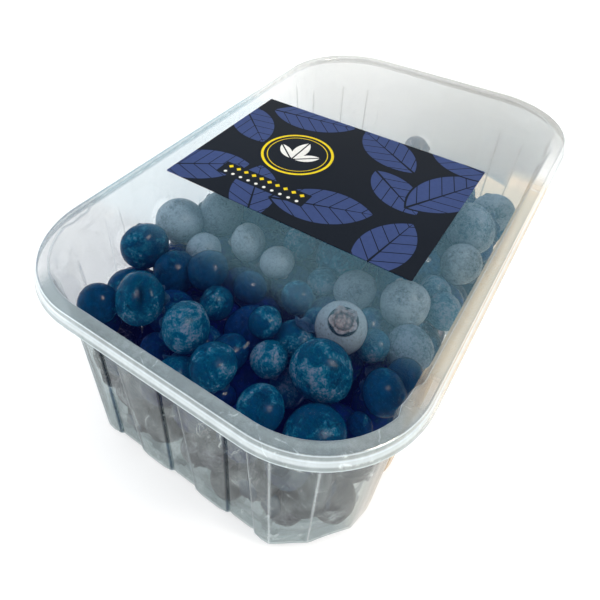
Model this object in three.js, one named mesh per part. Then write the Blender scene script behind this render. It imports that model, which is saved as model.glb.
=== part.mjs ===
// A heat-sealed punnet of blueberries: a clear fluted tray, its heap of berries, the lidding film
// sealed to the tray's flange, and a printed label on the film.
//
// Millimetres, +Z up. The origin is the middle of the tray's base, X runs across the punnet and
// Y along it.

import * as THREE from "three";

// ---- Driving dimensions -------------------------------------------------------------------------

const TRAY_WIDTH = 118.5; // across the flange, without the skirt's flare
const TRAY_LENGTH = 190;
const TRAY_HEIGHT = 68; // base to the top of the flange
const CORNER_RADIUS = 31; // of the flange's outer edge
const SHEET = 0.5; // wall of the formed sheet
const FLANGE_WIDTH = 3.7;

const SKIRT_DROP = 4.2; // the flange's turned-down edge
const SKIRT_FLARE = 0.95;
const SKIRT_BEAD = 1.8; // depth of the small outward step half way down the skirt

const COLLAR_DEPTH = 5; // plain band below the flange, above the flutes
const COLLAR_INSET = 1.3;
const WALL_INSET = FLANGE_WIDTH + COLLAR_INSET - SHEET; // the wall's outside, from the flange's edge
const FOOT_RADIUS = 3;

const FLUTE_START = 2.5; // height over which facets and flutes fade in below the collar
const FLUTE_TOP = { half: 1.3, flank: 0.6, depth: 0.6 }; // half width, flank width, depth
const FLUTE_FOOT = { half: 5.4, flank: 1.5, depth: 1.4 };
const SHORT_FLUTES = [22, 0]; // distances from the middle of a short side
const LONG_FLUTES = [11, 33, 55]; // and of a long side
const LOW_FLUTES = [11, 33]; // these begin below a plain band
const LOW_FLUTE_DEPTH = 22;

// A corner's facets meet at these angles from the long side. The draft is how far the wall there
// leans in from the collar to the foot; the first and the last are also those of the two sides.
const FACETS = [
  { angle: 0, draft: 4.1 },
  { angle: 18, draft: 4.4 },
  { angle: 53, draft: 5 },
  { angle: 81, draft: 2.2 },
  { angle: 90, draft: 2.1 },
];

const LUG = { from: 60.8, to: 73.8, ramp: 3.2, depth: 1.4 }; // denesting lug, along the outline

const HEAP_GAP = 0.8; // between the berries' solid and the tray
const BERRY = { diameter: 15, spacing: 14.2, unevenness: 2.4, hollow: 5.5 };
const HEAP_LEVEL = 48; // height of the uppermost berries' centres in the front two thirds
const HEAP_BACK_LEVEL = 29; // and at the back, where the heap has run forward
const HEAP_SLOPE = { from: 38, to: 84 };
const HEAP_LOW_RING = 24;
const HEAP_RINGS = 10;

const FILM_GAP = 0.3;
const FILM_THICKNESS = 0.3;
const FILM_INSET = 0.25;
const LABEL = { width: 90, length: 64, thickness: 0.3, corner: 0.6, x: -4.6, y: -1 };

// ---- The outline, as stations round the tray ----------------------------------------------------

const HALF_STRAIGHT_X = TRAY_WIDTH / 2 - CORNER_RADIUS;
const HALF_STRAIGHT_Y = TRAY_LENGTH / 2 - CORNER_RADIUS;
const radians = THREE.MathUtils.degToRad;
const lerp = THREE.MathUtils.lerp;

// A station is a place on a quarter of the outline, from the middle of the long side round the
// corner to the middle of the short side. On a side it has `along`, the distance from the middle,
// or the flute and which of its four edges it is; on a corner it has `angle`.
function quarterStations() {
  const stations = [{ side: "long", along: 0 }];
  for (const flute of LONG_FLUTES) {
    for (const edge of [-2, -1, 1, 2]) stations.push({ side: "long", flute, edge });
  }
  stations.push({ side: "long", along: LUG.from });
  for (const angle of [0, 10, 18, 29, 41, 53, 67, 81, 90]) {
    stations.push({ side: "corner", angle });
  }
  for (const flute of SHORT_FLUTES) {
    for (const edge of flute === 0 ? [2, 1] : [2, 1, -1, -2]) {
      stations.push({ side: "short", flute, edge });
    }
  }
  return stations;
}

// Flutes widen and deepen towards the foot. Nothing is left of one above its start.
function fluteSection(flute, side, depth) {
  const low = side === "long" && LOW_FLUTES.includes(flute);
  const start = low ? LOW_FLUTE_DEPTH : COLLAR_DEPTH;
  const share = THREE.MathUtils.clamp((depth - start) / (TRAY_HEIGHT - start), 0, 1);
  const fade = THREE.MathUtils.clamp((depth - start) / FLUTE_START, 0, 1);
  return {
    half: lerp(FLUTE_TOP.half, FLUTE_FOOT.half, share),
    flank: lerp(FLUTE_TOP.flank, FLUTE_FOOT.flank, share),
    depth: fade * lerp(FLUTE_TOP.depth, FLUTE_FOOT.depth, share),
  };
}

// What a corner has at an angle: how far its facet cuts inside the arc, and its draft.
function facetAt(angle, radius) {
  const last = FACETS.findIndex((facet) => facet.angle >= angle);
  const to = FACETS[Math.max(last, 1)];
  const from = FACETS[Math.max(last, 1) - 1];
  const middle = (to.angle + from.angle) / 2;
  const half = (to.angle - from.angle) / 2;
  const flat = Math.cos(radians(half)) / Math.cos(radians(angle - middle));
  const share = (angle - from.angle) / (to.angle - from.angle);
  return { inset: radius * (1 - flat), draft: lerp(from.draft, to.draft, share) };
}

// The lug pushes the collar inwards where the long side runs into the corner.
function lugInset(length, depth) {
  if (depth > COLLAR_DEPTH) return 0;
  const rise = Math.min(length - LUG.from, LUG.to - length) / LUG.ramp;
  return LUG.depth * THREE.MathUtils.clamp(rise, 0, 1);
}

// The point of a station at a depth below the flange's top. `inset` is measured inwards from the
// flange's edge, and `walled` adds what only the wall has: facets, flutes, lugs and draft.
function stationPoint(station, inset, depth, walled) {
  const share = THREE.MathUtils.clamp((depth - COLLAR_DEPTH) / (TRAY_HEIGHT - COLLAR_DEPTH), 0, 1);
  let total = inset;
  if (station.side === "corner") {
    const angle = radians(station.angle);
    if (walled) {
      const fade = THREE.MathUtils.clamp((depth - COLLAR_DEPTH) / FLUTE_START, 0, 1);
      const facet = facetAt(station.angle, CORNER_RADIUS - inset);
      total += fade * facet.inset + share * facet.draft;
      total += lugInset(HALF_STRAIGHT_Y + CORNER_RADIUS * angle, depth);
    }
    const radius = CORNER_RADIUS - total;
    return new THREE.Vector2(
      HALF_STRAIGHT_X + radius * Math.cos(angle),
      HALF_STRAIGHT_Y + radius * Math.sin(angle),
    );
  }
  let along = station.along;
  if (walled) total += share * FACETS.at(station.side === "long" ? 0 : -1).draft;
  if (station.flute !== undefined) {
    const section = fluteSection(station.flute, station.side, depth);
    const inner = Math.abs(station.edge) === 1;
    along = station.flute + Math.sign(station.edge) * (section.half - (inner ? section.flank : 0));
    if (walled && inner) total += section.depth;
  } else if (walled) {
    total += lugInset(along, depth);
  }
  return station.side === "long"
    ? new THREE.Vector2(TRAY_WIDTH / 2 - total, along)
    : new THREE.Vector2(along, TRAY_LENGTH / 2 - total);
}

const QUARTER = quarterStations();

// One ring of points round the whole outline: the quarter is mirrored into the other three.
// `depthAt` gives the depth at a distance along the tray.
function slopedRing(inset, depthAt, walled) {
  const points = [];
  for (const [sx, sy] of [[1, 1], [-1, 1], [-1, -1], [1, -1]]) {
    for (const station of sx * sy > 0 ? QUARTER : [...QUARTER].reverse()) {
      const depth = depthAt(sy * stationPoint(station, inset, 0, false).y);
      const point = stationPoint(station, inset, depth, walled);
      points.push(new THREE.Vector3(sx * point.x, sy * point.y, TRAY_HEIGHT - depth));
    }
  }
  // A station on a mirror line is there once.
  return points.filter((point, i) => point.distanceTo(points.at(i - 1)) > 1e-6);
}

function ring(inset, depth, walled = false) {
  return slopedRing(inset, () => depth, walled);
}

// A closed solid's skin through rings of equal length, capped by a fan at each end.
function skinGeometry(rings) {
  const count = rings[0].length;
  const vertices = rings.flat();
  const faces = [];
  for (let row = 0; row + 1 < rings.length; row += 1) {
    for (let i = 0; i < count; i += 1) {
      const a = row * count + i;
      const b = row * count + ((i + 1) % count);
      faces.push(a, b, b + count, a, b + count, a + count);
    }
  }
  for (const [row, up] of [[0, false], [rings.length - 1, true]]) {
    const middle = new THREE.Vector3(0, 0, 0);
    for (const point of rings[row]) middle.z += point.z / count;
    vertices.push(middle);
    const centre = vertices.length - 1;
    for (let i = 0; i < count; i += 1) {
      const a = row * count + i;
      const b = row * count + ((i + 1) % count);
      faces.push(...(up ? [centre, a, b] : [centre, b, a]));
    }
  }
  const geometry = new THREE.BufferGeometry().setFromPoints(vertices);
  geometry.setIndex(faces);
  geometry.computeVertexNormals();
  return geometry;
}

// ---- Sub-parts ----------------------------------------------------------------------------------

// Rings of the wall from the base up through some depths, on a surface `inwards` of its outside.
function wallRings(inwards, depths) {
  const radius = FOOT_RADIUS - inwards;
  const rings = [];
  for (const angle of [90, 45, 0]) {
    const sideways = inwards + radius * (1 - Math.cos(radians(angle)));
    const depth = TRAY_HEIGHT - FOOT_RADIUS + radius * Math.sin(radians(angle));
    rings.push(ring(WALL_INSET + sideways, depth, true));
  }
  for (const depth of depths) rings.push(ring(WALL_INSET + inwards, depth, true));
  return rings;
}

function trayGeometry() {
  const steps = [LOW_FLUTE_DEPTH + FLUTE_START, LOW_FLUTE_DEPTH, COLLAR_DEPTH + FLUTE_START];
  const outside = wallRings(0, [...steps, COLLAR_DEPTH]);
  const inside = wallRings(SHEET, [...steps, COLLAR_DEPTH]).reverse();
  const inner = FLANGE_WIDTH;
  const flange = [
    ring(inner - SHEET, SHEET, true), // underside, at the collar
    ring(SHEET, SHEET), // and at the skirt
    ring(SHEET - SKIRT_FLARE, SKIRT_DROP),
    ring(-SKIRT_FLARE, SKIRT_DROP), // the skirt's lower edge
    ring(-0.35, SKIRT_BEAD),
    ring(0, SKIRT_BEAD - 0.4),
    ring(0, 0.35),
    ring(0.35, 0), // top of the flange
    ring(inner, 0, true),
  ];
  return skinGeometry([...outside, ...flange, ...inside]);
}

// A repeatable number from 0 to 1 for each pair of whole numbers.
function scatter(i, j, salt) {
  const wave = Math.sin(i * 127.1 + j * 311.7 + salt * 74.7) * 43758.5453;
  return wave - Math.floor(wave);
}

// The height of the uppermost berries' centres at a distance along the tray.
function heapLevel(y) {
  return lerp(HEAP_LEVEL, HEAP_BACK_LEVEL, THREE.MathUtils.smoothstep(y, HEAP_SLOPE.from, HEAP_SLOPE.to));
}

// The height of the heap: the highest of the berries near a place, each on its own spot of a
// jittered hexagonal packing.
function heapHeight(x, y) {
  const rowStep = BERRY.spacing * Math.sqrt(0.75);
  const row = Math.round(y / rowStep);
  let height = heapLevel(y) - BERRY.hollow + BERRY.diameter / 2;
  for (let j = row - 2; j <= row + 2; j += 1) {
    const shift = (Math.abs(j) % 2) / 2;
    const column = Math.round(x / BERRY.spacing - shift);
    for (let i = column - 2; i <= column + 2; i += 1) {
      const jitter = BERRY.spacing * 0.16;
      const cx = (i + shift) * BERRY.spacing + jitter * (2 * scatter(i, j, 1) - 1);
      const cy = j * rowStep + jitter * (2 * scatter(i, j, 2) - 1);
      const radius = (BERRY.diameter / 2) * (0.9 + 0.2 * scatter(i, j, 3));
      const reach = radius ** 2 - (x - cx) ** 2 - (y - cy) ** 2;
      if (reach <= 0) continue;
      const centre = heapLevel(cy) + BERRY.unevenness * (2 * scatter(i, j, 4) - 1);
      height = Math.max(height, centre + Math.sqrt(reach));
    }
  }
  return height;
}

// The berries fill the tray to its walls. Their top narrows ring by ring to the middle line.
function heapGeometry() {
  const inwards = SHEET + HEAP_GAP;
  const rings = wallRings(inwards, [TRAY_HEIGHT - HEAP_LOW_RING]);
  const edge = slopedRing(WALL_INSET + inwards, (y) => TRAY_HEIGHT - heapLevel(y), true);
  rings.push(edge);
  const spine = (TRAY_LENGTH - TRAY_WIDTH) / 2;
  for (let step = 1; step < HEAP_RINGS; step += 1) {
    const share = 1 - step / HEAP_RINGS;
    rings.push(
      edge.map((point) => {
        const middle = THREE.MathUtils.clamp(point.y, -spine, spine) * (1 - 0.25 / HEAP_RINGS);
        const x = point.x * share;
        const y = lerp(middle, point.y, share);
        return new THREE.Vector3(x, y, heapHeight(x, y));
      }),
    );
  }
  return skinGeometry(rings);
}

function roundedRectangle(width, length, radius) {
  const x = width / 2 - radius;
  const y = length / 2 - radius;
  const shape = new THREE.Shape();
  shape.absarc(x, y, radius, 0, Math.PI / 2);
  shape.absarc(-x, y, radius, Math.PI / 2, Math.PI);
  shape.absarc(-x, -y, radius, Math.PI, Math.PI * 1.5);
  shape.absarc(x, -y, radius, Math.PI * 1.5, Math.PI * 2);
  return shape;
}

function sheetGeometry(shape, thickness, curveSegments) {
  return new THREE.ExtrudeGeometry(shape, { depth: thickness, bevelEnabled: false, curveSegments });
}

function filmGeometry() {
  const trim = 2 * FILM_INSET;
  const radius = CORNER_RADIUS - FILM_INSET;
  const outline = roundedRectangle(TRAY_WIDTH - trim, TRAY_LENGTH - trim, radius);
  return sheetGeometry(outline, FILM_THICKNESS, 10);
}

function labelGeometry() {
  return sheetGeometry(roundedRectangle(LABEL.width, LABEL.length, LABEL.corner), LABEL.thickness, 2);
}

function part(name, geometry, finish) {
  const mesh = new THREE.Mesh(geometry, new THREE.MeshStandardMaterial(finish));
  mesh.name = name;
  return mesh;
}

// ---- Assembly -----------------------------------------------------------------------------------

const clear = { metalness: 0, roughness: 0.08, transparent: true };

const tray = part("tray", trayGeometry(), { ...clear, color: 0xdfe6e4, opacity: 0.35 });
const berries = part("berries", heapGeometry(), { color: 0x27324f, roughness: 0.55, metalness: 0 });

const film = part("film", filmGeometry(), { ...clear, color: 0xe6ecee, opacity: 0.2 });
film.position.z = TRAY_HEIGHT + FILM_GAP;

const label = part("label", labelGeometry(), { color: 0x2a3350, roughness: 0.5, metalness: 0 });
label.position.set(LABEL.x, LABEL.y, film.position.z + FILM_THICKNESS + FILM_GAP);

const punnet = new THREE.Group();
punnet.add(tray, berries, film, label);

export default punnet;
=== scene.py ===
import math
from functools import lru_cache, reduce

import bmesh
import bpy
import numpy as np
from bpy.props import FloatProperty, FloatVectorProperty, IntProperty, PointerProperty
from bpy.types import Operator, Panel, PropertyGroup
from mathutils import Matrix, Vector, noise


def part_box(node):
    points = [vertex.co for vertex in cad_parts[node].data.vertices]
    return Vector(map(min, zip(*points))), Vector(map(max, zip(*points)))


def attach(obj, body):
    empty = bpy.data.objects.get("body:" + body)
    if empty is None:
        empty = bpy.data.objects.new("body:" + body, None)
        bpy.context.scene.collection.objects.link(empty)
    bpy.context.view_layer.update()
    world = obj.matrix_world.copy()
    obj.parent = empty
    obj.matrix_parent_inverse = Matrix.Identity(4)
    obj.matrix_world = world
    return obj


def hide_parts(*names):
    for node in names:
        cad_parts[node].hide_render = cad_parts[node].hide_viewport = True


bl_info = {
    "name": "Punnet of Blueberries",
    "version": (1, 0, 0),
    "blender": (4, 5, 0),
    "location": "3D View > Sidebar > Punnet",
    "description": "A clear fluted tray of blueberries under sealed film, with its studio",
    "category": "Object",
}

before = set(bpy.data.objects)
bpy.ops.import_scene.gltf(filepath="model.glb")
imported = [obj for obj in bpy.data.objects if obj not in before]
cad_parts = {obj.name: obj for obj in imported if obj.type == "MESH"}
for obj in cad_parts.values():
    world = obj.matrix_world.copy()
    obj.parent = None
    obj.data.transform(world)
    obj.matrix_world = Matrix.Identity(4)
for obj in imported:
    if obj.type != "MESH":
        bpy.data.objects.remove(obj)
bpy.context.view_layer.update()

MM = 0.001
BODY = "root"

# ---- Sizes, in metres -----------------------------------------------------------------------------

TRAY_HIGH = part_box("tray")[1]
LABEL_LOW, LABEL_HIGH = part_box("label")
LABEL_MIDDLE = (LABEL_LOW + LABEL_HIGH) / 2
LABEL_SIZE = LABEL_HIGH - LABEL_LOW

SKIRT_FLARE = 0.95 * MM
TRAY_HALF_WIDTH = TRAY_HIGH.x - SKIRT_FLARE
TRAY_HALF_LENGTH = TRAY_HIGH.y - SKIRT_FLARE
TRAY_HEIGHT = TRAY_HIGH.z
CORNER_RADIUS = 31 * MM
SHEET = 0.5 * MM
FLANGE_WIDTH = 3.7 * MM
FLANGE_BEND = 0.45 * MM
SKIRT_DROP = 4.2 * MM
SKIRT_BEAD = 1.8 * MM
COLLAR_DEPTH = 5 * MM
COLLAR_INSET = 1.3 * MM
WALL_INSET = FLANGE_WIDTH + COLLAR_INSET
FOOT_RADIUS = 3.4 * MM
BASE_STEP = {"inset": 11 * MM, "width": 2.5 * MM, "rise": 1.2 * MM}
FILM_GAP = 0.02 * MM  # of the film above the flange
LABEL_GAP = 0.11 * MM  # of the label above the flange
LABEL_ROUNDING = 0.6 * MM

FLUTE_START = 2.5 * MM
FLUTE_TOP = {"half": 3.3 * MM, "flank": 0.5 * MM, "depth": 0.8 * MM}
FLUTE_FOOT = {"half": 5.4 * MM, "flank": 0.6 * MM, "depth": 1.0 * MM}
SHORT_FLUTES = (22 * MM, 0.0)
LONG_FLUTES = (11 * MM, 33 * MM, 55 * MM)
LOW_FLUTES = (11 * MM, 33 * MM)
LOW_FLUTE_DEPTH = 22 * MM

# A corner's facets meet at these angles from the long side, with the wall's lean from collar to foot.
FACETS = ((0, 4.1 * MM), (18, 4.4 * MM), (53, 5 * MM), (81, 2.2 * MM), (90, 2.1 * MM))
FACET_SHOULDER = 0.42  # how steeply a facet's curved upper edge runs in
LUG = {"start": 60.8 * MM, "end": 73.8 * MM, "ramp": 3.2 * MM, "depth": 1.4 * MM}

CORNER_X = TRAY_HALF_WIDTH - CORNER_RADIUS
CORNER_Y = TRAY_HALF_LENGTH - CORNER_RADIUS

# Inset, depth and line of the skirt's rings: a painted highlight where the line is positive, painted shade
# where negative.
SKIRT_RINGS = (
    (-SKIRT_FLARE - 0.12 * MM, SKIRT_DROP, 0.9),
    (-SKIRT_FLARE, SKIRT_DROP - 0.15 * MM, 0.5),
    (-SKIRT_FLARE * 0.9, SKIRT_DROP - 0.45 * MM, 0.1),
    (-SKIRT_FLARE * 0.62, SKIRT_BEAD + (SKIRT_DROP - SKIRT_BEAD) * 0.45, 0.7),
    (-0.42 * MM, SKIRT_BEAD + 0.15 * MM, 0.65),
    (-0.30 * MM, SKIRT_BEAD, 0.95),
    (-0.06 * MM, SKIRT_BEAD - 0.25 * MM, 0.5),
    (0, SKIRT_BEAD - 0.5 * MM, -0.2),
)
BEND_LINES = (-0.4, 0.5, 1.0, 0.2, -0.5)  # painted highlights and shade across the flange's bends
FLANGE_LINES = ((0.15, 0.0), (0.45, 0.0), (0.5, 0.35), (0.55, 0.0), (0.82, 0.0))  # share across, and the line's painted highlight
BASE_LINES = ((0, 0.0), (0.3, 0.4), (0.7, 0.0), (1, 0.4))  # share of the step's width, and the line's painted highlight
# Painted highlight along the foot's lower edge.
FOOT_LINE = 0.8

# Where the parts of the tray that look different begin and end.
NEAR_END = (-78 * MM, -60 * MM)  # along the tray, the scuffed near end
NEAR_LEFT = (-46 * MM, -36 * MM)  # and across it
RIM = (62 * MM, 64 * MM)  # up, under the flange
FAR_END = (35 * MM, 84 * MM)  # along, where the far end's painted shade, for a dimmer place behind it, comes in
FAR_LEFT = (-45 * MM, 40 * MM)
WARM_END = (29 * MM, 32 * MM)  # along: up to here the painted reflection of a warm surface beside the tray shows
WARM_SIDE = (46 * MM, 50 * MM)  # across, in the right wall
WARM_BACK = (8 * MM, 20 * MM)  # across, in the far wall below z - slant * x
WARM_LEVEL = (25 * MM, 26.5 * MM)
WARM_SLANT = 0.135
WARM_CORNER = (40 * MM, 44 * MM)  # across, at the far right below z + rise * y
WARM_CORNER_LEVEL = (87 * MM, 95 * MM)
WARM_RISE = 0.63
WARM_START = (-76 * MM, -50 * MM)  # along
WARM_MILK = (57 * MM, 62 * MM)  # up, where it's milky

HEAP_LEVEL = 48 * MM
HEAP_BACK_LEVEL = 29 * MM
HEAP_SLOPE = (38 * MM, 84 * MM)
# Berries out of view lie lower beyond a slanting line: y - slant * x, from start to end.
FILL_SLANT = 0.5
FILL_SLOPE = (3 * MM, 15 * MM)
FILL_DROP = 9 * MM

# ---- The camera and the lights --------------------------------------------------------------------

PICTURE = 600  # pixels across and down
CAMERA_PLACE = Vector((68.74, -146.97, 181.20)) * MM
CAMERA_FORWARD = Vector((-0.43591, 0.66428, -0.60721))
CAMERA_RIGHT = Vector((0.82665, 0.56230, 0.02171))
CAMERA_UP = CAMERA_RIGHT.cross(CAMERA_FORWARD)
FOCAL_PIXELS = 573.1
PRINCIPAL_POINT = (272, 195)
SENSOR = 36.0

WHITE = (1.0, 1.0, 1.0)
BACKDROP = (0.95, 0.95, 0.95)
HORIZON_RISE = (22, 36)  # degrees up, where the studio's light ends
KEY = Vector((0.55, 0.02, 0.844))  # where the key light and the glints come from
KEY_FAR = 1.3
# The film mirrors the panels at the back and left towards the camera. The back one's upper edge
# bounds the sheen.
BACK_TOP = TRAY_HEIGHT + 0.836976
BACK_FOLD = TRAY_HEIGHT + 0.370084
# Lamps: place, the way each faces, size, radiance, tint, and whether it gives gloss and diffuse light.
LIGHTS = {
    "back_panel": (
        (-0.45, 0.60, (BACK_TOP + BACK_FOLD) / 2), (0, -1, 0), (1.9, BACK_TOP - BACK_FOLD),
        0.82, (0.44, 0.82, 0.92), True, False,
    ),
    "back_panel_low": (
        (-0.45, 0.60, BACK_FOLD / 2), (0, -1, 0), (1.9, BACK_FOLD), 1.1, (1.0, 0.88, 0.72), True, False,
    ),
    "left_panel": (
        (-0.5757, -0.1806, 0.52), (0.934, 0.357, 0), (0.9, 1.04), 1.0, (0.92, 0.95, 1.0), True, True,
    ),
    "overhead": ((0, 0, 1.7), (0, 0, -1), (2.6, 2.6), 1.1, WHITE, False, True),
    "key": (KEY * KEY_FAR, -KEY, (0.2, 0.2), 36, (1.0, 0.96, 0.90), False, True),
    "glint": (KEY * KEY_FAR, -KEY, (0.30, 0.30), 190, (1.0, 0.86, 0.70), True, False),
}

# ---- The berries in view --------------------------------------------------------------------------

# Each berry's outline in the 600 pixel frame: centre across and down, width, height, how far it lies below
# the heap's level in millimetres, and how much bloom it has, in tenths. Under the film's reflection the
# bloom is raised, which paints part of the reflection's lightness onto the berries.
SEEN_BERRIES = (
    (145, 246, 47, 48, 0, 4), (140, 298, 48, 59, 0, 5), (186, 327, 50, 53, 0, 6), (180, 220, 50, 44, 0, 9),
    (222, 213, 45, 45, 0, 9), (130, 290, 44, 44, 6, 4), (98, 304, 42, 42, 0, 3), (103, 322, 36, 36, 6, 2),
    (175, 272, 44, 44, 3, 3), (208, 270, 42, 42, 4, 2), (217, 303, 35, 34, 0, 4), (155, 348, 32, 32, 8, 3),
    (213, 366, 50, 50, 0, 5), (230, 352, 38, 38, 6, 3), (222, 398, 30, 30, 8, 2), (269, 359, 38, 38, 0, 6),
    (265, 322, 35, 35, 0, 4), (250, 287, 34, 34, 4, 3), (261, 408, 52, 48, 0, 4), (321, 371, 62, 63, 0, 5),
    (315, 434, 64, 60, 0, 4), (341, 328, 56, 50, 0, 10), (384, 393, 44, 50, 0, 3), (360, 425, 26, 26, 8, 2),
    (405, 378, 40, 40, 4, 3), (372, 345, 36, 36, 4, 5), (409, 350, 50, 50, 0, 8), (405, 304, 49, 49, 0, 9),
    (355, 290, 41, 42, 1, 9), (322, 281, 29, 29, 3, 7), (277, 262, 33, 34, 0, 9), (248, 242, 36, 38, 0, 9),
    (204, 249, 34, 34, 2, 8), (434, 292, 32, 36, 2, 7), (444, 311, 36, 38, 3, 7), (461, 264, 41, 42, 0, 9),
    (470, 229, 50, 56, 0, 8), (492, 213, 40, 42, 0, 8), (416, 150, 26, 26, 0, 7), (297, 298, 34, 34, 4, 3),
    (300, 243, 34, 34, 3, 6),
)
MOST_BLOOM = 10
CROWN_SHOWN = (341, 328)  # the berry whose crown faces the camera
CROWN_OFFSET = (0.12, 0.32)  # of its crown, in radii to the right and up
DENTED = (140, 298)  # the berry with a long dent
DENT = {"place": (0.02, 0.05), "half": (0.17, 0.55), "depth": 0.26}  # in radii


# ---- Settings -------------------------------------------------------------------------------------


def colour(name, description, default):
    return FloatVectorProperty(
        name=name, description=description, default=default, size=3, min=0, max=4, subtype="COLOR"
    )


def length(name, description, default):
    return FloatProperty(name=name, description=description, default=default, unit="LENGTH")


def factor(name, description, default):
    return FloatProperty(name=name, description=description, default=default, subtype="FACTOR")


class TraySettings(PropertyGroup):
    sheet: length("Sheet", "Thickness of the formed wall", SHEET)
    tint: colour("Tint", "What the clear sheet lets through, seen square on", (0.975, 0.98, 0.98))
    near_tint: colour("Near tint", "And at the scuffed near end", (0.72, 0.765, 0.77))
    # Painted shade: a darker tint for a dimmer place beyond the far right end.
    painted_far_shade_tint: colour("Far tint", "And towards the far right end", (0.575, 0.62, 0.635))
    # Painted reflection of a warm surface beside the tray.
    painted_warm_tint: colour("Warm tint", "And beside a warm surface", (0.92, 0.865, 0.78))
    edge_tint: colour("Edge tint", "And seen edge on", (0.26, 0.31, 0.33))
    # Painted reflection of a warm surface beside the tray, seen edge on.
    painted_warm_edge_tint: colour("Warm edge tint", "And edge on beside a warm surface", (0.90, 0.83, 0.72))
    # Painted shade on the flutes' stretched flanks and along the dark lines.
    painted_flank_shade_tint: colour("Flank tint", "And on a flute's stretched flank", (0.33, 0.42, 0.50))
    haze_colour: colour("Haze", "Colour of the faint milkiness in the sheet", (0.72, 0.80, 0.80))
    # Painted highlights along the bends and flute crests, as whitish haze.
    painted_glint_haze: colour("Line haze", "And on the bright lines along its bends", (0.82, 0.94, 1.0))
    # Painted reflection of a warm surface beside the tray, as milkiness.
    painted_warm_haze: colour("Warm haze", "And beside a warm surface", (0.98, 0.84, 0.65))
    haze: factor("Haze share", "How milky the sheet is where nothing touches it", 0.105)
    contact_haze: factor("Contact haze", "And where a berry lies against it, as a share of that", 0.12)


class FilmSettings(PropertyGroup):
    thickness: length("Thickness", "Of the lidding film", 0.07 * MM)
    trim: length("Trim", "Flange left bare outside the film", 0.25 * MM)
    tint: colour("Tint", "What the film lets through", (0.955, 0.965, 0.97))
    edge_tint: colour("Edge tint", "And seen edge on", (0.86, 0.88, 0.88))
    # The haze is deep blue: it paints a navy tint over the shade seen through the film.
    haze_colour: colour("Haze", "Colour of its faint milkiness", (0.02, 0.04, 0.85))
    dust: colour("Dust", "Colour of the dust on it", (0.85, 0.87, 0.88))
    haze: factor("Haze share", "How milky the film is", 0.009)


class LabelSettings(PropertyGroup):
    thickness: length("Thickness", "Of the label's paper", 0.12 * MM)
    ground: colour("Ground", "The label's dark field", (0.0095, 0.0130, 0.0205))
    leaf: colour("Leaves", "The large printed leaves", (0.044, 0.070, 0.188))
    gold: colour("Gold", "Rings and diamonds", (0.86, 0.66, 0.02))
    cream: colour("Cream", "Sprig and dots", (0.88, 0.88, 0.84))


class BerrySettings(PropertyGroup):
    diameter: length("Diameter", "Of an average berry", 14.6 * MM)
    spread: length("Spread", "Of the diameters", 1.6 * MM)
    seed: IntProperty(name="Seed", description="Of the packing and the berries' shapes", default=7)
    skin: colour("Skin", "Bare skin near the top of the heap", (0.0, 0.052, 0.135))
    # Painted shade: bare skin darker low in the heap.
    painted_depth_skin: colour("Deep skin", "Bare skin low in the heap", (0.003, 0.006, 0.16))
    # Painted light and shade: berries along the walls get their own darker bare skin.
    painted_wall_skin: colour("Wall skin", "Bare skin against the tray's walls", (0.010, 0.008, 0.015))
    thin_bloom: colour("Thin bloom", "Rubbed bloom", (0.0, 0.150, 0.255))
    bloom: colour("Bloom", "Waxy bloom on the skin", (0.19, 0.255, 0.36))
    pale_bloom: colour("Pale bloom", "The thickest bloom", (0.28, 0.34, 0.40))
    # Painted shade: bloom darker low in the heap.
    painted_depth_bloom: colour("Deep bloom", "Bloom low in the heap", (0.012, 0.045, 0.15))
    # Painted light and shade: berries along the walls get their own paler mauve bloom.
    painted_wall_bloom: colour("Wall bloom", "Bloom against the tray's walls", (0.42, 0.36, 0.43))
    crown: colour("Crown", "The dry crown", (0.36, 0.26, 0.26))


class StageSettings(PropertyGroup):
    floor_colour: colour("Floor", "The pale floor", (0.66, 0.66, 0.66))
    floor_glow: FloatProperty(
        name="Floor glow", description="Light that the floor itself gives, as a light table does",
        default=0.56,
    )
    floor_size: length("Floor size", "Across the floor", 8.0)
    horizon: colour("Horizon", "Studio light low round the object", (0.92, 0.94, 0.95))
    zenith: colour("Zenith", "And overhead, as reflections see it", (0.002, 0.004, 0.010))


# ---- Shader trees ---------------------------------------------------------------------------------


def maths(operation, swapped=False):
    """A method that adds a Math node for a value and the other value, if it takes one."""

    def add_node(self, *others):
        values = (*others, self) if swapped else (self, *others)
        return self.tree.node("ShaderNodeMath", {"operation": operation}, dict(enumerate(values)))

    return add_node


class Value:
    """An output socket in a tree. Arithmetic on it adds Math nodes."""

    def __init__(self, tree, socket):
        self.tree = tree
        self.socket = socket

    __add__, __radd__ = maths("ADD"), maths("ADD", swapped=True)
    __sub__, __rsub__ = maths("SUBTRACT"), maths("SUBTRACT", swapped=True)
    __mul__, __rmul__ = maths("MULTIPLY"), maths("MULTIPLY", swapped=True)
    __truediv__, __pow__, __abs__ = maths("DIVIDE"), maths("POWER"), maths("ABSOLUTE")
    least, most = maths("MINIMUM"), maths("MAXIMUM")
    root, part = maths("SQRT"), maths("FRACT")

    def between(self, low, high, to_low=0.0, to_high=1.0):
        """Runs smoothly from to_low at low to to_high at high, and stays there beyond."""
        settings = {"interpolation_type": "SMOOTHSTEP"}
        inputs = {"Value": self, "From Min": low, "From Max": high, "To Min": to_low, "To Max": to_high}
        return self.tree.node("ShaderNodeMapRange", settings, inputs)


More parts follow.
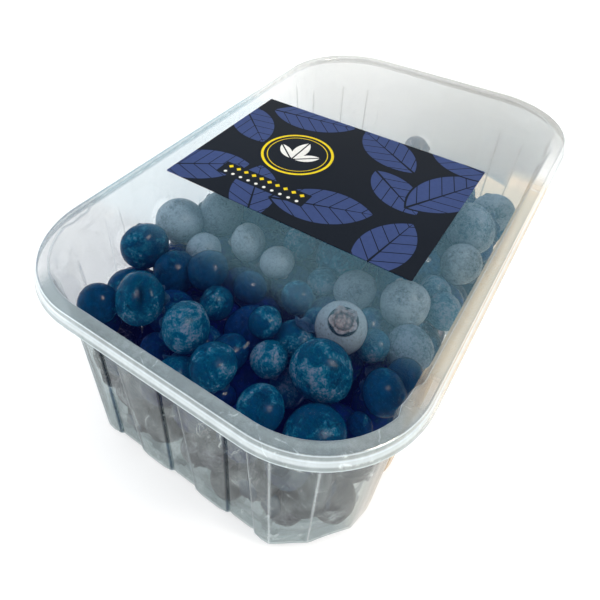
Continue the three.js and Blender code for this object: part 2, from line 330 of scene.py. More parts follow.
class Tree:
    """A node tree under construction."""

    def __init__(self, owner):
        owner.use_nodes = True
        self.nodes = owner.node_tree.nodes
        self.links = owner.node_tree.links
        self.nodes.clear()

    def node(self, kind, settings=None, inputs=None, output=0):
        """Adds a node: its settings first, then its sockets' values or links. Gives one output."""
        made = self.nodes.new(kind)
        for key, value in (settings or {}).items():
            setattr(made, key, value)
        for key, value in (inputs or {}).items():
            socket = made.inputs[key]
            if isinstance(value, Value):
                self.links.new(value.socket, socket)
            elif socket.type == "RGBA":
                socket.default_value = (*value[:3], 1.0)
            else:
                socket.default_value = value
        return Value(self, made.outputs[output]) if made.outputs else None

    def place(self):
        return self.node("ShaderNodeTexCoord", output="Object")

    def axes(self, vector):
        """The three parts of a vector."""
        outputs = self.node("ShaderNodeSeparateXYZ", {}, {0: vector}).socket.node.outputs
        return [Value(self, outputs[axis]) for axis in "XYZ"]

    def noise(self, vector, scale, detail, roughness=0.5, w=None, distortion=0.0):
        settings = {"noise_dimensions": "3D" if w is None else "4D"}
        inputs = {
            "Vector": vector, "Scale": scale, "Detail": detail,
            "Roughness": roughness, "Distortion": distortion,
        }
        if w is not None:
            inputs["W"] = w
        return self.node("ShaderNodeTexNoise", settings, inputs)

    def stretched(self, vector, scale, rotation=(0.0, 0.0, 0.0)):
        return self.node("ShaderNodeMapping", {}, {0: vector, "Scale": scale, "Rotation": rotation})

    def attribute(self, name):
        return self.node("ShaderNodeAttribute", {"attribute_name": name}, output="Fac")

    def mix(self, share, first, second, blend_type="MIX"):
        """Colour first where share is 0, and second, or the two blended, where it is 1."""
        settings = {"data_type": "RGBA", "blend_type": blend_type}
        return self.node("ShaderNodeMix", settings, {"Factor": share, 6: first, 7: second}, output=2)

    def bump(self, height, strength, distance):
        inputs = {"Height": height, "Strength": strength, "Distance": distance}
        return self.node("ShaderNodeBump", {}, inputs)

    def blend(self, share, first, second):
        """Shader first where share is 0, and second where it is 1."""
        return self.node("ShaderNodeMixShader", {}, {0: share, 1: first, 2: second})

    def layers(self, kind, colour, *others, **inputs):
        """A shader of one kind in a colour, then in each further one by its share over the last."""
        made = self.node(kind, {}, {"Color": colour, **inputs})
        for share, other in others:
            made = self.blend(share, made, self.node(kind, {}, {"Color": other, **inputs}))
        return made

    def surface(self, shader, kind="ShaderNodeOutputMaterial"):
        self.node(kind, {}, {"Surface": shader})

    def principled(self, inputs):
        self.surface(self.node("ShaderNodeBsdfPrincipled", {}, inputs))


def new_material(name):
    made = bpy.data.materials.new(name)
    return made, Tree(made)


# ---- Materials ------------------------------------------------------------------------------------

CLEAR = "ShaderNodeBsdfTransparent"
MILKY = "ShaderNodeBsdfDiffuse"
EDGE_ON = (0.72, 0.99)  # from here a sheet counts as seen edge on
GRAZING_POWER = 5.0


def clear_sheet(tree, square_on, edge_on, milky, haze, mirror, grazing, roughness, normal):
    """Clear plastic sheet: what lies behind it, a little milkiness, and its gloss, which is mirror
    of the light seen square on and grazing of it seen edge on."""
    facing = tree.node("ShaderNodeLayerWeight", {}, {"Blend": 0.5, "Normal": normal}, output="Facing")
    clear = tree.blend(facing.between(*EDGE_ON), square_on, edge_on)
    body = tree.blend(haze, clear, milky)
    gloss = tree.node("ShaderNodeBsdfGlossy", {}, {"Color": WHITE, "Roughness": roughness, "Normal": normal})
    tree.surface(tree.blend(mirror + (grazing - mirror) * facing**GRAZING_POWER, body, gloss))


def tray_material(settings):
    made, tree = new_material("clear_tray_sheet")
    place = tree.place()
    x, y, z = tree.axes(place)
    normal = tree.bump(tree.noise(place, 90.0, 1.0, 0.4), 1.0, 0.03 * MM)
    # The near end is the most scuffed.
    near = y.between(*NEAR_END, 1.0, 0.0) * x.between(*NEAR_LEFT)
    worn = near.between(0.0, 1.0, 0.12, 1.0)
    clouds = tree.noise(place, 70.0, 6.0, 0.7).between(0.35, 0.65, -0.5, 0.5) * worn + 1.0
    scuffs = tree.noise(tree.stretched(place, (1.0, 1.0, 0.35)), 300.0, 5.0, 0.7)
    streaks = scuffs.between(0.38, 0.66, -0.4, 0.5) * worn + 1.0
    # Fine creases follow a wavering level line of some noise.
    level = tree.noise(place, 42.0, 2.0, 0.5, distortion=1.2)
    creases = abs(level - 0.5).between(0.0, 0.011, 1.0, 0.0) * scuffs.between(0.42, 0.6) * worn
    # The line attribute paints highlights (positive) and shade (negative) along the bends and flutes: bright
    # lines get whitish haze and more mirror, dark ones a darker tint.
    line = tree.attribute("line")
    bright = line.between(0.3, 1.0)
    dark = (line * -1.0).between(0.1, 0.8)
    # The sheet is clearer where a berry touches it, and quite clear on the stretched flute flanks.
    touching = tree.attribute("contact").between(0.3, 0.75, 1.0, settings.contact_haze)
    haze = touching * (1.0 - dark * 0.95) * clouds * streaks * settings.haze
    rim = near * z.between(*RIM)
    haze = haze * near.between(0.0, 1.0, 0.65, 0.8) + rim * 0.3
    haze = (haze + bright * 0.6 + creases * 0.35).least(1.0)
    # A painted reflection of a warm surface beside the tray colours its right side, and the far end low
    # down.
    far = y.between(*WARM_END)
    beside = x.between(*WARM_SIDE) * (1.0 - far)
    behind = x.between(*WARM_BACK) * far * (z - x * WARM_SLANT).between(*WARM_LEVEL, 1.0, 0.0)
    rising = x.between(*WARM_CORNER) * (z + y * WARM_RISE).between(*WARM_CORNER_LEVEL, 1.0, 0.0)
    warm = beside.most(behind.most(rising * far)) * (1.0 - bright) * y.between(*WARM_START, 0.1, 1.0)
    haze = haze + warm * z.between(*WARM_MILK, 0.02, 0.26)
    # Scuffing takes most of the gloss that the near wall would have seen aslant.
    dull = (near * (1.0 - rim) * (1.0 - bright) * 0.62).most(warm * 0.75)
    # Painted shade: the far right end gets a darker tint, for a dimmer place behind it.
    dim = y.between(*FAR_END) * x.between(*FAR_LEFT, 0.5, 1.0)
    square_on = tree.layers(
        CLEAR, settings.tint, (near, settings.near_tint), (dim, settings.painted_far_shade_tint),
        (warm, settings.painted_warm_tint), (dark, settings.painted_flank_shade_tint),
    )
    edge_on = tree.layers(
        CLEAR, settings.edge_tint, (dim, settings.painted_far_shade_tint), (warm, settings.painted_warm_edge_tint)
    )
    milky = tree.layers(
        MILKY, settings.haze_colour, (bright, settings.painted_glint_haze), (warm, settings.painted_warm_haze),
        Normal=normal,
    )
    clear_sheet(
        tree, square_on, edge_on, milky, haze, mirror=0.035 + bright * 0.33, grazing=1.0 - dull,
        roughness=0.05, normal=normal,
    )
    return made


def film_material(settings):
    made, tree = new_material("clear_lidding_film")
    place = tree.place()
    normal = tree.bump(tree.noise(place, 28.0, 1.0, 0.4), 1.0, 0.012 * MM)
    haze = tree.noise(place, 40.0, 2.0).between(0.2, 0.8, 0.7, 1.3) * settings.haze
    # Dust lies in hairs, here and there.
    hairs = tree.noise(tree.stretched(place, (1.0, 0.12, 1.0), (0.0, 0.0, 0.6)), 900.0, 1.0)
    dust = hairs.between(0.68, 0.76) * tree.noise(place, 160.0, 2.0).between(0.60, 0.68)
    speckle = tree.noise(place, 1500.0, 2.0, 0.6).between(0.3, 0.7, 0.8, 1.2)
    # Its deep blue haze paints a navy tint over the shade seen through it.
    milky = tree.layers(MILKY, settings.haze_colour, (dust, settings.dust), Normal=normal)
    clear_sheet(
        tree, tree.layers(CLEAR, settings.tint), tree.layers(CLEAR, settings.edge_tint), milky,
        haze + dust * 0.06, mirror=speckle * 0.085, grazing=1.0, roughness=0.10, normal=normal,
    )
    return made


# The label's print, in millimetres. Leaves: centre from the label's middle, the stalk's direction
# in degrees, and length.
PRINTED_LEAVES = (
    (-38, -22, 35, 34), (-40, 12, -40, 30), (-14, -24, 115, 30), (-22, 28, 10, 34),
    (8, -18, 20, 33), (12, 24, 150, 30), (33, -24, 80, 30), (24, 3, -35, 26),
    (39, 12, 60, 34), (38, 32, 170, 28),
)
LEAF_SLIMNESS = 0.52  # width by length
LEAF_GAP = 0.7  # dark line round a leaf over another
RIB = {"half": 0.45, "reach": 1.25}  # reach in leaf lengths, where it would taper to nothing
VEINS = {"step": 5.2, "slant": 0.8, "half": 0.2}
ROUNDEL = (-14.0, 3.0)
ROUNDEL_RINGS = ((12.6, 0.95), (10.8, 0.3))  # radius, line
SPRIG = ((0.0, 2.4, 90, 12.5), (-4.4, -0.6, 140, 9.5), (4.4, -0.6, 40, 9.5))
SPRIG_SLIMNESS = 0.42
SPRIG_RIB = 0.28
ROWS = {
    "centre": (-14.0, -17.0), "gap": 3.4, "half_length": 16.0, "step": 3.2, "size": 0.95,
    "dot": 0.62, "margin": 1.2,
}
PRINT_EDGE = 0.05  # how soft a printed edge is


def leaf_field(across, up, leaf, slimness):
    """(how far outside a leaf's outline, along the leaf, beside its middle line), in millimetres."""
    x, y, angle, size = leaf
    turn = math.radians(angle)
    shifted_x, shifted_y = across - x, up - y
    along = shifted_x * math.cos(turn) + shifted_y * math.sin(turn)
    beside = abs(shifted_y * math.cos(turn) - shifted_x * math.sin(turn))
    half, width = size / 2, size * slimness / 2
    radius = (half**2 + width**2) / (2 * width)
    reach = (along * along + (beside + (radius - width)) ** 2).root()
    return reach - radius, along, beside


def inside(distance):
    return distance.between(-PRINT_EDGE, PRINT_EDGE, 1.0, 0.0)


def printed_shapes(across, up):
    """How much of each place on the label is leaf, gold and cream."""
    leaves = None
    for leaf in PRINTED_LEAVES:
        outside, along, beside = leaf_field(across, up, leaf, LEAF_SLIMNESS)
        rib = inside(beside - RIB["half"] * (1.0 - (along + leaf[3] / 2) / (leaf[3] * RIB["reach"])))
        vein = ((along - beside * VEINS["slant"]) / VEINS["step"]).part()
        veins = inside(abs(vein - 0.5) * VEINS["step"] - VEINS["half"])
        shape = inside(outside) * (1.0 - rib.most(veins))
        gap = inside(outside - LEAF_GAP)
        leaves = shape if leaves is None else (leaves * (1.0 - gap)).most(shape)

    centre_x, centre_y = across - ROUNDEL[0], up - ROUNDEL[1]
    reach = (centre_x * centre_x + centre_y * centre_y).root()
    gold = [inside(abs(reach - radius) - line / 2) for radius, line in ROUNDEL_RINGS]
    cream = []
    for leaf in SPRIG:
        outside, _, beside = leaf_field(centre_x, centre_y, leaf, SPRIG_SLIMNESS)
        cream.append(inside(outside) * (1.0 - inside(beside - SPRIG_RIB)))

    row_x, row_y = across - ROWS["centre"][0], up - ROWS["centre"][1]
    beat = abs((row_x / ROWS["step"]).part() - 0.5) * ROWS["step"]
    past = abs(row_x) - ROWS["half_length"]
    lower = abs(row_y + ROWS["gap"])
    gold.append(inside(beat + abs(row_y) - ROWS["size"]) * inside(past))
    dots = (beat * beat + lower * lower).root() - ROWS["size"] * ROWS["dot"]
    cream.append(inside(dots) * inside(past))
    band = inside(past - ROWS["margin"]) * inside(abs(row_y + ROWS["gap"] / 2) - ROWS["gap"])
    leaves = leaves * (1.0 - inside(reach - ROUNDEL_RINGS[0][0])) * (1.0 - band)
    return leaves, reduce(Value.most, gold), reduce(Value.most, cream)


def label_material(settings):
    made, tree = new_material("printed_label")
    place = tree.place()
    x, y, _ = tree.axes(place)
    leaves, gold, cream = printed_shapes((x - LABEL_MIDDLE.x) / MM, (y - LABEL_MIDDLE.y) / MM)
    ink = tree.noise(place, 900.0, 3.0, 0.6)
    wash = tree.noise(place, 22.0, 2.0)
    colours = tree.mix(wash, settings.ground, settings.ground * 1.3)
    colours = tree.mix(leaves, colours, tree.mix(wash, settings.leaf, settings.leaf * 1.15))
    colours = tree.mix(gold, colours, settings.gold)
    colours = tree.mix(cream, colours, settings.cream)
    shade = ink.between(0.2, 0.8, 0.90, 1.08) * wash.between(0.3, 0.7, 0.94, 1.06)
    grey = tree.node("ShaderNodeCombineColor", {}, dict.fromkeys(range(3), shade))
    relief = tree.noise(place, 1500.0, 2.0) + gold * 0.8 + cream * 0.5
    tree.principled({
        "Base Color": tree.mix(0.8, colours, grey, "MULTIPLY"),
        "Roughness": ink.between(0.2, 0.8, 0.36, 0.5), "Specular IOR Level": 0.03,
        "Normal": tree.bump(relief, 0.25, 0.02 * MM),
    })
    return made


def berry_material(name, settings, painted_depth_skin, painted_depth_bloom):
    made, tree = new_material(name)
    place = tree.place()
    own, wax_and_painted_sheen, crown, painted_crease_shade, depth = map(tree.attribute, ("tone", "wax_and_painted_sheen", "crown", "painted_crease_shade", "depth"))
    shift = own * 40.0
    cloud = tree.noise(place, 125.0, 8.0, 0.68, w=shift, distortion=0.3)
    mottle = tree.noise(place, 700.0, 6.0, 0.75, w=shift + 7.0)
    rubbed = tree.noise(place, 130.0, 8.0, 0.72, w=shift + 19.0, distortion=0.3).between(0.52, 0.62)
    scratched = tree.stretched(place, (1.0, 0.16, 0.5), (0.5, 0.7, 0.3))
    scratches = tree.noise(scratched, 1500.0, 2.0, 0.6, w=shift + 3.0)
    speckle = tree.noise(place, 1700.0, 3.0, 0.7)
    grain = tree.noise(place, 1000.0, 4.0, 0.65)
    flecks = scratches.between(0.58, 0.70) * mottle.between(0.42, 0.58)
    # Bloom lies in cloudy patches with ragged edges, and is rubbed off in others.
    patches = (cloud + (wax_and_painted_sheen - 0.5) * 0.35).between(0.42, 0.64)
    waxy = patches * mottle.between(0.36, 0.62, 0.25 + wax_and_painted_sheen * 0.4, 1.0) + mottle.between(0.55, 0.68) * 0.25
    waxy = waxy * (1.0 - rubbed * (1.0 - wax_and_painted_sheen * 0.8)) * (0.62 + wax_and_painted_sheen * 0.55)
    waxy = waxy.most(wax_and_painted_sheen * wax_and_painted_sheen * mottle.between(0.38, 0.62, 0.4, 0.95))
    waxy = (waxy * speckle.between(0.3, 0.7, 0.6, 1.35) + flecks * 0.22).least(1.0)

    stains = (rubbed * 0.7).most(mottle.between(0.4, 0.6, 0.0, 0.6))
    # The depth attribute mixes in the second skin and bloom colours: painted shade low in the heap, and in
    # the wall berries' copy, painted light and shade.
    bare = tree.mix(stains, tree.mix(depth, settings.skin, painted_depth_skin), settings.skin * 0.25)
    thin = tree.mix(wax_and_painted_sheen.between(0.6, 0.9), settings.thin_bloom, settings.pale_bloom * 0.5)
    thin = tree.mix(depth, thin, painted_depth_bloom * 0.4)
    thick = tree.mix(wax_and_painted_sheen.between(0.6, 1.0), settings.bloom, settings.pale_bloom)
    thick = tree.mix(depth, thick, painted_depth_bloom)
    skin = tree.mix(waxy.between(0.0, 0.5), bare, thin)
    skin = tree.mix(waxy.between(0.3, 1.0), skin, thick)
    dry = tree.mix(grain.between(0.40, 0.60), settings.crown * 0.3, settings.crown)
    dry = tree.mix(wax_and_painted_sheen.between(0.8, 1.0, 0.9, 0.0), dry, settings.skin)
    # Painted shade darkens the skin in the creases round the crown and in the dent.
    base = tree.mix(painted_crease_shade, tree.mix(crown, skin, dry), settings.skin * 0.1)
    relief = mottle * 0.7 + waxy * 0.3 + flecks * 0.3 + grain * (0.15 + crown * 1.2)
    tree.principled({
        "Base Color": base, "Roughness": waxy.between(0.0, 0.8, 0.16, 0.27).most(crown * 0.7),
        "Specular IOR Level": 0.04, "Normal": tree.bump(relief, 0.75, 0.12 * MM),
    })
    return made


# The core is a dark solid that paints the shade deep inside the heap.
def painted_shade_core_material(settings):
    made, tree = new_material("painted_shade_core")
    patches = tree.noise(tree.place(), 90.0, 3.0)
    tree.principled({
        "Base Color": tree.mix(patches, settings.painted_depth_skin * 0.3, settings.painted_depth_skin * 0.1),
        "Roughness": 0.9, "Specular IOR Level": 0.0, "Normal": tree.bump(patches, 0.6, 2 * MM),
    })
    return made


def floor_material(settings):
    made, tree = new_material("pale_floor")
    cloudy = tree.noise(tree.place(), 3.0, 3.0)
    tree.principled({
        "Base Color": tree.mix(cloudy, settings.floor_colour, settings.floor_colour * 0.985),
        "Roughness": 0.9, "Specular IOR Level": 0.0,
        "Emission Color": WHITE, "Emission Strength": settings.floor_glow,
    })
    return made


# ---- Numbers and meshes ---------------------------------------------------------------------------


def lerp(low, high, share):
    return low + (high - low) * share


def clamp(value, low=0.0, high=1.0):
    return max(low, min(high, value))


def ease(share):
    return share * share * (3 - 2 * share)


def smooth(share):
    return ease(clamp(share))


def ramp(values, low, high):
    """From 0 where the values are at low to 1 where they are at high."""
    return np.clip((values - low) / (high - low), 0, 1)


def skin_through(rings):
    """A bmesh through rings of equally many points: a circle moved to the first and extruded on.
    Gives the bmesh and the loops of vertices."""
    bm = bmesh.new()
    bmesh.ops.create_circle(bm, cap_ends=False, radius=1.0, segments=len(rings[0]))
    loop = list(bm.verts)
    edges = list(bm.edges)
    loops = [loop]
    for points in rings[1:]:
        made = bmesh.ops.extrude_edge_only(bm, edges=edges)["geom"]
        order = {vert: i for i, vert in enumerate(loop)}
        loop = [None] * len(points)
        edges = [item for item in made if isinstance(item, bmesh.types.BMEdge)]
        for vert in (item for item in made if isinstance(item, bmesh.types.BMVert)):
            for edge in vert.link_edges:
                other = edge.other_vert(vert)
                if other in order:
                    loop[order[other]] = vert
        edges = [edge for edge in edges if all(vert not in order for vert in edge.verts)]
        loops.append(loop)
    for verts, points in zip(loops, rings):
        for vert, point in zip(verts, points):
            vert.co = point
    return bm, loops


def cap(bm, loop):
    """Closes a loop of vertices with one face."""
    return bmesh.ops.contextual_create(bm, geom=loop)["faces"]


def closed_skin(rings):
    bm, loops = skin_through(rings)
    for loop in (loops[0], loops[-1]):
        cap(bm, loop)
    bmesh.ops.recalc_face_normals(bm, faces=bm.faces)
    return bm


def new_mesh(name, bm):
    mesh = bpy.data.meshes.new(name)
    bm.to_mesh(mesh)
    bm.free()
    return mesh


def shade(mesh, sharp_angle):
    mesh.shade_smooth()
    mesh.set_sharp_from_angle(angle=math.radians(sharp_angle))


def add_object(name, bm, material):
    mesh = new_mesh(name, bm)
    mesh.materials.append(material)
    made = bpy.data.objects.new(name, mesh)
    bpy.context.scene.collection.objects.link(made)
    return made


def add_piece(name, bm, material, node, sharp_angle=40):
    """Makes the bmesh a smooth-shaded object that rides on the punnet in a node's place."""
    piece = add_object(name, bm, material)
    shade(piece.data, sharp_angle)
    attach(piece, BODY)
    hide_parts(node)
    return piece


def set_values(mesh, values):
    """Gives the mesh a number for each vertex under each name, for its material to read."""
    for key, value in values.items():
        stored = mesh.attributes.new(key, "FLOAT", "POINT").data
        stored.foreach_set("value", np.asarray(value, np.float32))


def bake_modifiers(piece, sharp_angle=40):
    """Replaces the piece's mesh by what its modifiers make of it."""
    depsgraph = bpy.context.evaluated_depsgraph_get()
    mesh = bpy.data.meshes.new_from_object(piece.evaluated_get(depsgraph))
    piece.modifiers.clear()
    piece.data = mesh
    shade(mesh, sharp_angle)


# ---- The tray's outline ---------------------------------------------------------------------------

# How strongly the flutes' painted lines show on each side: most at the near end, faintly elsewhere.
LINE_SHARES = {("short", -1): 1.0, ("long", 1): 0.18, ("long", -1): 0.3, ("short", 1): 0.03}
FOLD_SHARE = 0.6  # how bright the painted highlight on a facet's edge is
FLANK_STEPS = 4
FLANK_PEAK = 2.2  # how fast the painted shade on a flank falls off from its middle
FLUTE_FLOOR_STEPS = 3
PLAIN_STEPS = 5
CORNER_STEPS = 30
COLLAR_STEPS = 4
FOOT_STEPS = 7
TOP_ZONE = 1.4 * FLUTE_START  # finely divided, below the collar
TOP_ZONE_STEPS = 7
UPPER_WALL_STEPS = 9
LOW_ZONE_STEPS = 5
LOWER_WALL_STEPS = 22


def flute_start(side, flute):
    """How deep below the flange's top a flute begins."""
    return LOW_FLUTE_DEPTH if side == "long" and flute in LOW_FLUTES else COLLAR_DEPTH


def flute_section(side, flute, depth):
    """(half width, flank's width, depth) of a flute at a depth below the flange's top."""
    start = flute_start(side, flute)
    share = clamp((depth - start) / (TRAY_HEIGHT - start))
    sizes = zip(FLUTE_TOP.values(), FLUTE_FOOT.values())
    half, flank, press = (lerp(top, foot, share) for top, foot in sizes)
    return half, flank, press * smooth((depth - start) / FLUTE_START)


def flute_station(side, flute, edge):
    """A place on a flute: edge runs from -2 to 2, with the flanks beyond -1 and 1, and a little way
    on to the wall. At a depth it gives how far it lies along the side, how far it is pressed in,
    how much it is a flank, and how much a crest: negative for the crest nearer the middle."""

    def at(depth):
        half, flank, press = flute_section(side, flute, depth)
        size = abs(edge)
        reach = (half - flank) * size if size <= 1 else half - flank * (2 - size)
        pressed = clamp(press / FLUTE_TOP["depth"])
        sloping = pressed * max(0.0, 1 - FLANK_PEAK * abs(size - 1.5))
        crest = math.copysign(pressed, edge) if size == 2 else 0.0
        return flute + math.copysign(reach, edge), press * smooth(2 - size), sloping, crest

    return at


def fixed_station(along):
    return lambda depth: (along, 0.0, 0.0, 0.0)


def stations_between(first, last):
    """Stations on the plain wall, from one station towards another."""
    return [
        lambda depth, share=i / PLAIN_STEPS: (lerp(first(depth)[0], last(depth)[0], share), 0.0, 0.0, 0.0)
        for i in range(PLAIN_STEPS)
    ]


def side_stations(side, flutes, end):
    """Stations along half a side, from its middle to where the corner begins."""
    stations = []
    previous = None
    for flute in sorted(flutes):
        if flute > 0:
            start = flute_station(side, flute, -2 - 1 / FLANK_STEPS)
            stations += stations_between(previous or fixed_station(0.0), start)
        left = [-2 + i / FLANK_STEPS for i in range(-1, FLANK_STEPS)]
        floor = [-1 + i / FLUTE_FLOOR_STEPS for i in range(2 * FLUTE_FLOOR_STEPS)]
        right = [1 + i / FLANK_STEPS for i in range(FLANK_STEPS + 1)]
        edges = [edge for edge in (*left, *floor, *right) if flute > 0 or edge >= 0]
        stations += [flute_station(side, flute, edge) for edge in edges]
        previous = flute_station(side, flute, 2 + 1 / FLANK_STEPS)
    return stations + stations_between(previous, fixed_station(end))


LONG_STATIONS = side_stations("long", LONG_FLUTES, CORNER_Y)
SHORT_STATIONS = side_stations("short", SHORT_FLUTES, CORNER_X)


def facet_at(angle, radius, below_collar):
    """(how far a corner's facet lies inside the arc, the wall's lean to the foot) at an angle."""
    last = next(i for i, facet in enumerate(FACETS) if facet[0] >= angle and i > 0)
    (start, start_draft), (end, end_draft) = FACETS[last - 1], FACETS[last]
    half, middle = (end - start) / 2, (end + start) / 2
    flat = math.cos(math.radians(half)) / math.cos(math.radians(angle - middle))
    inset = min(radius * (1 - flat), FACET_SHOULDER * below_collar)
    return inset, lerp(start_draft, end_draft, (angle - start) / (end - start))


def lug_inset(length_along, depth):
    """The denesting lug pushes the collar in where the long side runs into the corner."""
    rise = min(length_along - LUG["start"], LUG["end"] - length_along) / LUG["ramp"]
    end = smooth((COLLAR_DEPTH + FLUTE_START / 4 - depth) / (FLUTE_START / 2))
    return LUG["depth"] * smooth(rise) * end


def ring(inset, depth, walled=False):
    """Points round the whole outline at an inset from the flange's edge and a depth below its top.
    A walled ring has the facets, flutes, lugs and draft of the wall."""
    share = clamp((depth - COLLAR_DEPTH) / (TRAY_HEIGHT - COLLAR_DEPTH))
    below_collar = max(0.0, depth - COLLAR_DEPTH)
    quarter = []
    for station in LONG_STATIONS:
        along, press, *_ = station(depth)
        wall = share * FACETS[0][1] + press + lug_inset(along, depth)
        quarter.append((TRAY_HALF_WIDTH - (inset + walled * wall), along))
    for i in range(CORNER_STEPS + 1):
        angle = 90 * i / CORNER_STEPS
        turn = math.radians(angle)
        facet, draft = facet_at(angle, CORNER_RADIUS - inset, below_collar)
        wall = facet + share * draft + lug_inset(CORNER_Y + CORNER_RADIUS * turn, depth)
        radius = CORNER_RADIUS - (inset + walled * wall)
        quarter.append((CORNER_X + radius * math.cos(turn), CORNER_Y + radius * math.sin(turn)))
    for station in reversed(SHORT_STATIONS):
        along, press, *_ = station(depth)
        wall = share * FACETS[-1][1] + press
        quarter.append((along, TRAY_HALF_LENGTH - (inset + walled * wall)))
    height = TRAY_HEIGHT - depth
    return [Vector((turn_x * x, turn_y * y, height)) for turn_x, turn_y, (x, y) in all_round(quarter)]


def all_round(quarter):
    """What a quarter of the outline has, repeated in order round the whole: (sign of x, sign of y,
    item). An item on a mirror line belongs to one quarter only."""
    whole = []
    for sign_x, sign_y in ((1, 1), (-1, 1), (-1, -1), (1, -1)):
        turned = quarter if sign_x * sign_y > 0 else quarter[::-1]
        whole += [(sign_x, sign_y, item) for item in turned[:-1]]
    return whole


def flute_lines(depth):
    """The flutes' painted lines round a ring: -1 where a stretched flank is clear and painted dark, 1 for a
    painted highlight on the crest that would catch the light, and 0 elsewhere."""
    end = smooth((TRAY_HEIGHT - SHEET - depth) / FOOT_RADIUS)
    quarter = [("long", *station(depth)[2:]) for station in LONG_STATIONS]
    # A corner has a painted highlight where two facets meet.
    folds = [round(facet[0] / 90 * CORNER_STEPS) for facet in FACETS[1:-1]]
    below = clamp((depth - 2 * COLLAR_DEPTH) / COLLAR_DEPTH)
    quarter += [("corner", 0.0, FOLD_SHARE * below * (i in folds)) for i in range(CORNER_STEPS + 1)]
    quarter += [("short", *station(depth)[2:]) for station in reversed(SHORT_STATIONS)]
    lines = []
    for sign_x, sign_y, (side, sloping, crest) in all_round(quarter):
        if side == "corner":
            lines.append(end * crest)
            continue
        plain = LINE_SHARES[side, sign_x if side == "long" else sign_y]
        lines.append(end * plain * (max(0.0, -crest * sign_x * sign_y) - sloping))
    return lines


def steps(start, end, count):
    """Values from start towards end, without end."""
    return [lerp(start, end, i / count) for i in range(count)]


def tray_rings():
    """The tray's upper and inner face, from the skirt's lower edge over the flange to the base.
    Gives the rings, and the line each makes round the tray: a painted highlight up to 1, painted shade down
    to -1."""
    rings = [(ring(inset, depth), line) for inset, depth, line in SKIRT_RINGS]
    turns = [math.radians(90 * i / 4) for i in range(5)]
    for turn, line in zip(turns, BEND_LINES):
        bend = ring(FLANGE_BEND * (1 - math.cos(turn)), FLANGE_BEND * (1 - math.sin(turn)))
        rings.append((bend, line))
    for share, line in FLANGE_LINES:
        innermost = share == FLANGE_LINES[-1][0]
        rings.append((ring(lerp(FLANGE_BEND, FLANGE_WIDTH, share), 0.0, innermost), line))
    for turn, line in zip(turns, BEND_LINES[::-1]):
        inset = FLANGE_WIDTH - FLANGE_BEND * (1 - math.sin(turn))
        rings.append((ring(inset, FLANGE_BEND * (1 - math.cos(turn)), True), line))
    for depth in steps(2 * FLANGE_BEND, COLLAR_DEPTH, COLLAR_STEPS):
        inset = FLANGE_WIDTH + COLLAR_INSET * (depth / COLLAR_DEPTH)
        rings.append((ring(inset, depth, True), 0.0))
    foot = TRAY_HEIGHT - SHEET - FOOT_RADIUS
    depths = [
        *steps(COLLAR_DEPTH, COLLAR_DEPTH + TOP_ZONE, TOP_ZONE_STEPS),
        *steps(COLLAR_DEPTH + TOP_ZONE, LOW_FLUTE_DEPTH, UPPER_WALL_STEPS),
        *steps(LOW_FLUTE_DEPTH, LOW_FLUTE_DEPTH + FLUTE_START, LOW_ZONE_STEPS),
        *steps(LOW_FLUTE_DEPTH + FLUTE_START, foot, LOWER_WALL_STEPS),
    ]
    rings += [(ring(WALL_INSET, depth, True), 0.0) for depth in depths]
    for i in range(FOOT_STEPS + 1):
        turn = math.radians(90 * i / FOOT_STEPS)
        inset = WALL_INSET + FOOT_RADIUS * (1 - math.cos(turn))
        line = FOOT_LINE if i == FOOT_STEPS else 0.0
        rings.append((ring(inset, foot + FOOT_RADIUS * math.sin(turn), True), line))
    for share, line in BASE_LINES:
        inset = WALL_INSET + BASE_STEP["inset"] + BASE_STEP["width"] * share
        rings.append((ring(inset, TRAY_HEIGHT - SHEET - BASE_STEP["rise"] * smooth(share)), line))
    return zip(*rings)


# ---- The berries ----------------------------------------------------------------------------------

CROWN_RADIUS = 0.46  # of a berry of radius 1
CREASE_REACHES = (1.28, 1.2, 1.1)  # of the rings round the crown, in crown radii
POLAR_RADIUS = 0.87
CROWN_TURN = math.acos(CROWN_RADIUS)
CROWN_RIM = POLAR_RADIUS * math.sin(CROWN_TURN)  # how high the crown's ring lies
SCAR_TURN = -math.acos(0.22)
# The stem's scar, out from the axis and up, and the crown, in crown radii and up from its ring.
SCAR = ((0.0, 0.07), (0.075, 0.055), (0.13, 0.012))
CROWN = (
    (1.01, 0.045), (1.07, 0.11), (1.03, 0.125), (0.94, 0.075), (0.84, -0.01),
    (0.72, -0.07), (0.42, -0.085), (0.17, -0.06), (0.0, -0.09),
)
PLAIN_CROWN = ((1.05, 0.10), (0.82, -0.02), (0.0, -0.08))
LOBES = 5

LEAST_RADIUS = 4.6 * MM
DIAMETER_RANGE = (11.5 * MM, 18 * MM)
LUMP_REACH = 1.02  # radii that a berry keeps from the wall, and a gap
WALL_GAP = 0.55 * MM
FLUTE_ROOM = 2.5 * MM  # how far beside a flute a berry feels it
CORNER_INSET = 0.9 * MM
CORNER_DRAFT = 4.4  # millimetres

LATTICE = {"rows": 8, "columns": 6, "spacing": 0.97, "base": 9 * MM, "jitter": 0.9 * MM}
START_FAR = 0.18  # a first guess at how far from the camera the berries lie
FAR_STEPS = 12
START_ROOM = {"wall": 2.5 * MM, "top": 2 * MM, "gap": 0.72}
TOP_JITTER = 1.2 * MM

RELAX_STEPS = 260
CLOSENESS = 0.985  # neighbours' distance, in radii
PUSH_SHARE = 0.45
SIGHT_SHARE = 0.6  # how much a berry in view moves along its sight line
RETURN_SHARE = 0.02
BLOCK_SHARE = 0.25
SINK_SHARE = 0.5
SINK = 0.03 * MM
MOST_SQUEEZE = {"any": 0.24, "seen": 0.1}  # in radii
MOST_OUTSIDE = 0.8 * MM

